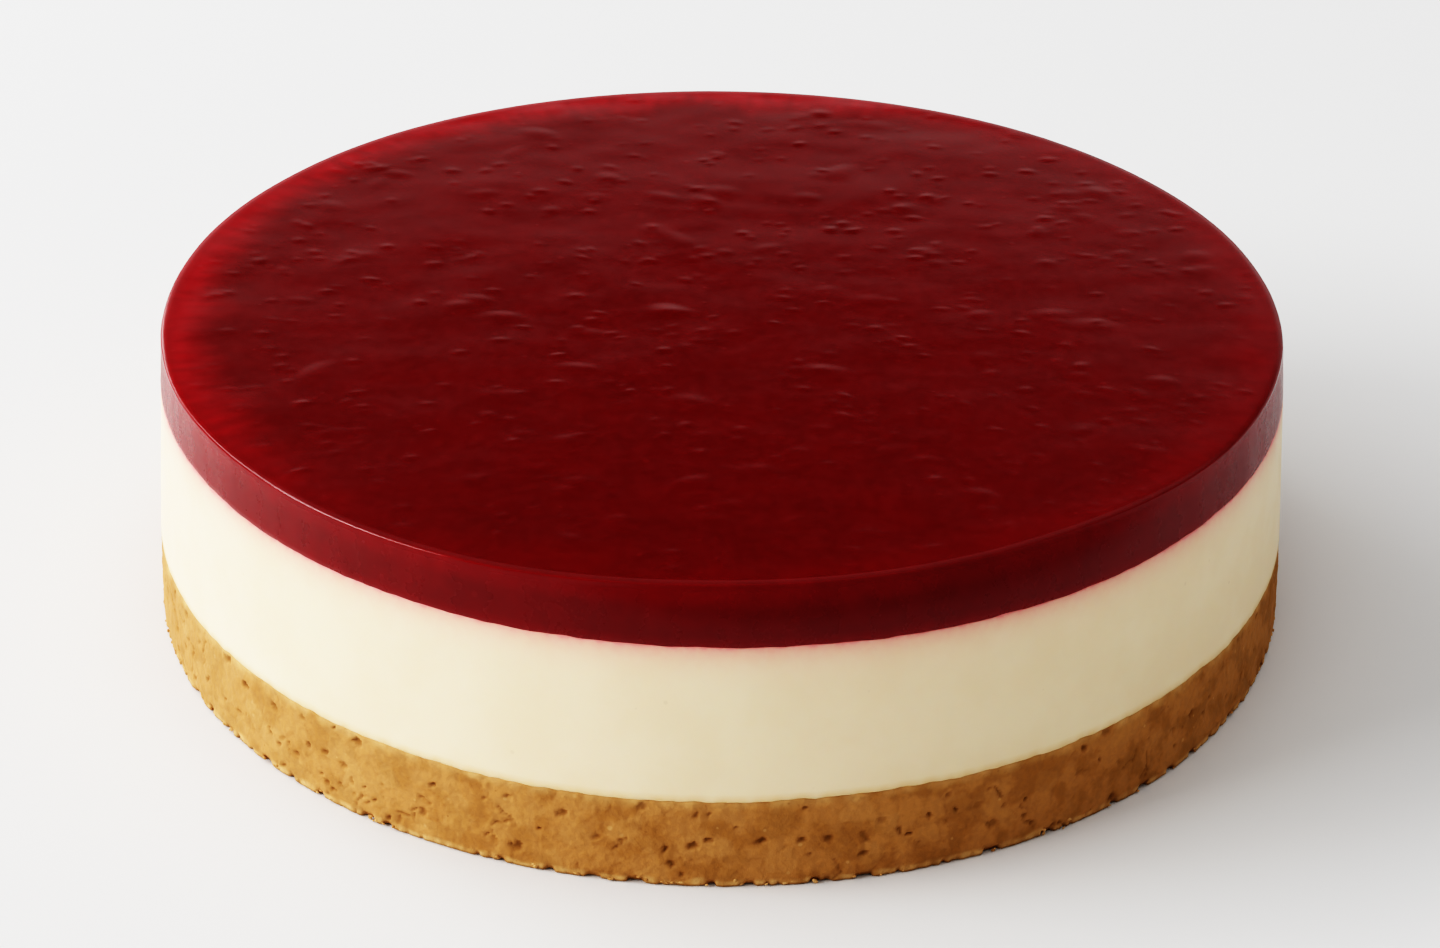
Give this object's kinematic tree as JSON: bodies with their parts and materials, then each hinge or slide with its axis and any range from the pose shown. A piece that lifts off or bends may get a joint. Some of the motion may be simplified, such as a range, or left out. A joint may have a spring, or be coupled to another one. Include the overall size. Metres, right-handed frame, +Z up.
{
  "type": "whole round cheesecake with red berry jelly top",
  "caption": "Whole round cheesecake in three layers: pressed biscuit crumb base, set cream cheese filling and a clear dark red berry jelly top.",
  "frame": {"origin": "middle of the underside, on the surface that the cake stands on", "axes": "+Z up through the layers, -Y the front as seen in the picture, +X to its right"},
  "size_m": [0.203, 0.2042, 0.0546],
  "materials": {
    "biscuit_crumb": "dry pressed crumb, golden brown",
    "cream_cheese": "smooth satin ivory cream",
    "red_jelly": "glossy clear dark red jelly"
  },
  "bodies": {
    "root": {"biscuit_base": "biscuit_crumb", "cream_filling": "cream_cheese", "berry_jelly": "red_jelly"}
  },
  "joints": []
}
